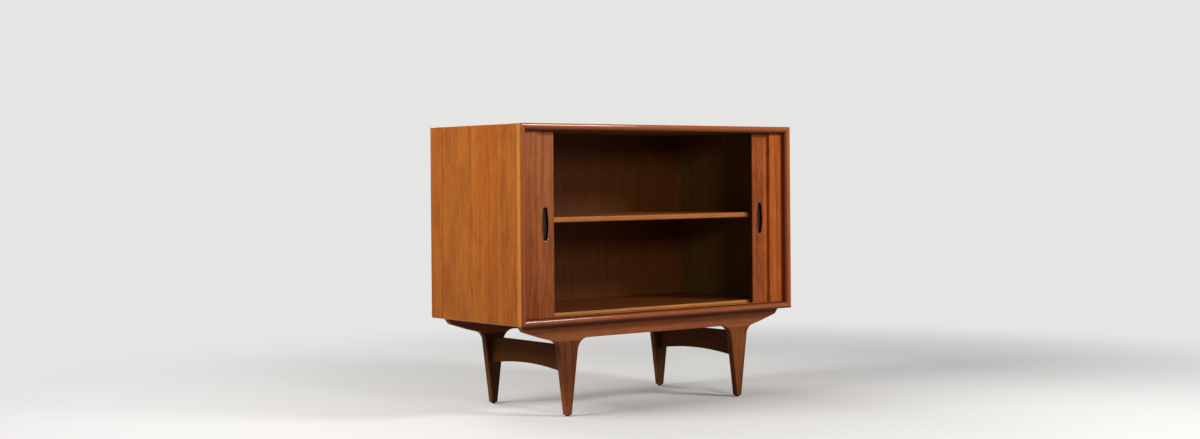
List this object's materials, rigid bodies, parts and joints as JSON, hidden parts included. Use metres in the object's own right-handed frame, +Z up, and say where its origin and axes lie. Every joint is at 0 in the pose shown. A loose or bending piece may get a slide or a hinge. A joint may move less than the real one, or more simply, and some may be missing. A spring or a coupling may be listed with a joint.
{
  "type": "tambour door cabinet",
  "caption": "Low teak cabinet on curved leg frames, with slatted tambour doors that slide round the front corners into side pockets, and a shelf.",
  "frame": {"origin": "on the floor, under the middle of the case", "axes": "+Z up, +X to the right of someone facing the doors, +Y to the back"},
  "size_m": [1, 0.444, 0.802],
  "materials": {
    "case_teak": "oiled teak, satin",
    "front_teak": "oiled teak, satin",
    "frame_teak": "oiled solid teak, satin",
    "inside_teak": "teak veneer, satin",
    "floor_teak": "teak veneer, satin",
    "back_ply": "veneered plywood, matt",
    "slat_teak": "oiled teak slats on canvas",
    "pin_brass": "plain brass",
    "screw_steel": "zinc plated steel",
    "glide_steel": "blackened steel"
  },
  "bodies": {
    "case": {"top_panel": "case_teak", "bottom_panel": "case_teak", "left_side": "case_teak", "right_side": "case_teak", "back_panel": "back_ply", "interior_floor": "floor_teak", "left_partition": "inside_teak", "left_front_post": "front_teak", "left_stretcher": "frame_teak", "shelf_pin_left_front": "pin_brass", "shelf_pin_left_back": "pin_brass", "right_partition": "inside_teak", "right_front_post": "front_teak", "right_stretcher": "frame_teak", "shelf_pin_right_front": "pin_brass", "shelf_pin_right_back": "pin_brass", "front_rail": "frame_teak", "front_left_leg": "frame_teak", "front_left_glide": "glide_steel", "base_screw_front_left": "screw_steel", "front_right_leg": "frame_teak", "front_right_glide": "glide_steel", "base_screw_front_right": "screw_steel", "rear_rail": "frame_teak", "rear_left_leg": "frame_teak", "rear_left_glide": "glide_steel", "base_screw_rear_left": "screw_steel", "rear_right_leg": "frame_teak", "rear_right_glide": "glide_steel", "base_screw_rear_right": "screw_steel", "back_screw_01": "screw_steel", "back_screw_02": "screw_steel", "back_screw_03": "screw_steel", "back_screw_04": "screw_steel", "back_screw_05": "screw_steel", "back_screw_06": "screw_steel", "back_screw_07": "screw_steel", "back_screw_08": "screw_steel", "back_screw_09": "screw_steel", "back_screw_10": "screw_steel"},
    "left_door": {"left_lead_stile": "front_teak", "left_tambour": "slat_teak"},
    "right_door": {"right_lead_stile": "front_teak", "right_tambour": "slat_teak"},
    "shelf": {"shelf": "front_teak"}
  },
  "joints": [
    {"name": "left_door_slide", "type": "slide", "parent": "case", "child": "left_door", "axis": [1, 0, 0], "range_m": [0, 0.3675], "deforming": ["left_tambour"]},
    {"name": "right_door_slide", "type": "slide", "parent": "case", "child": "right_door", "axis": [-1, 0, 0], "range_m": [0, 0.3675], "deforming": ["right_tambour"]},
    {"name": "shelf_lift", "type": "slide", "parent": "case", "child": "shelf", "axis": [0, 0, 1], "range_m": [0, 0.03]}
  ]
}
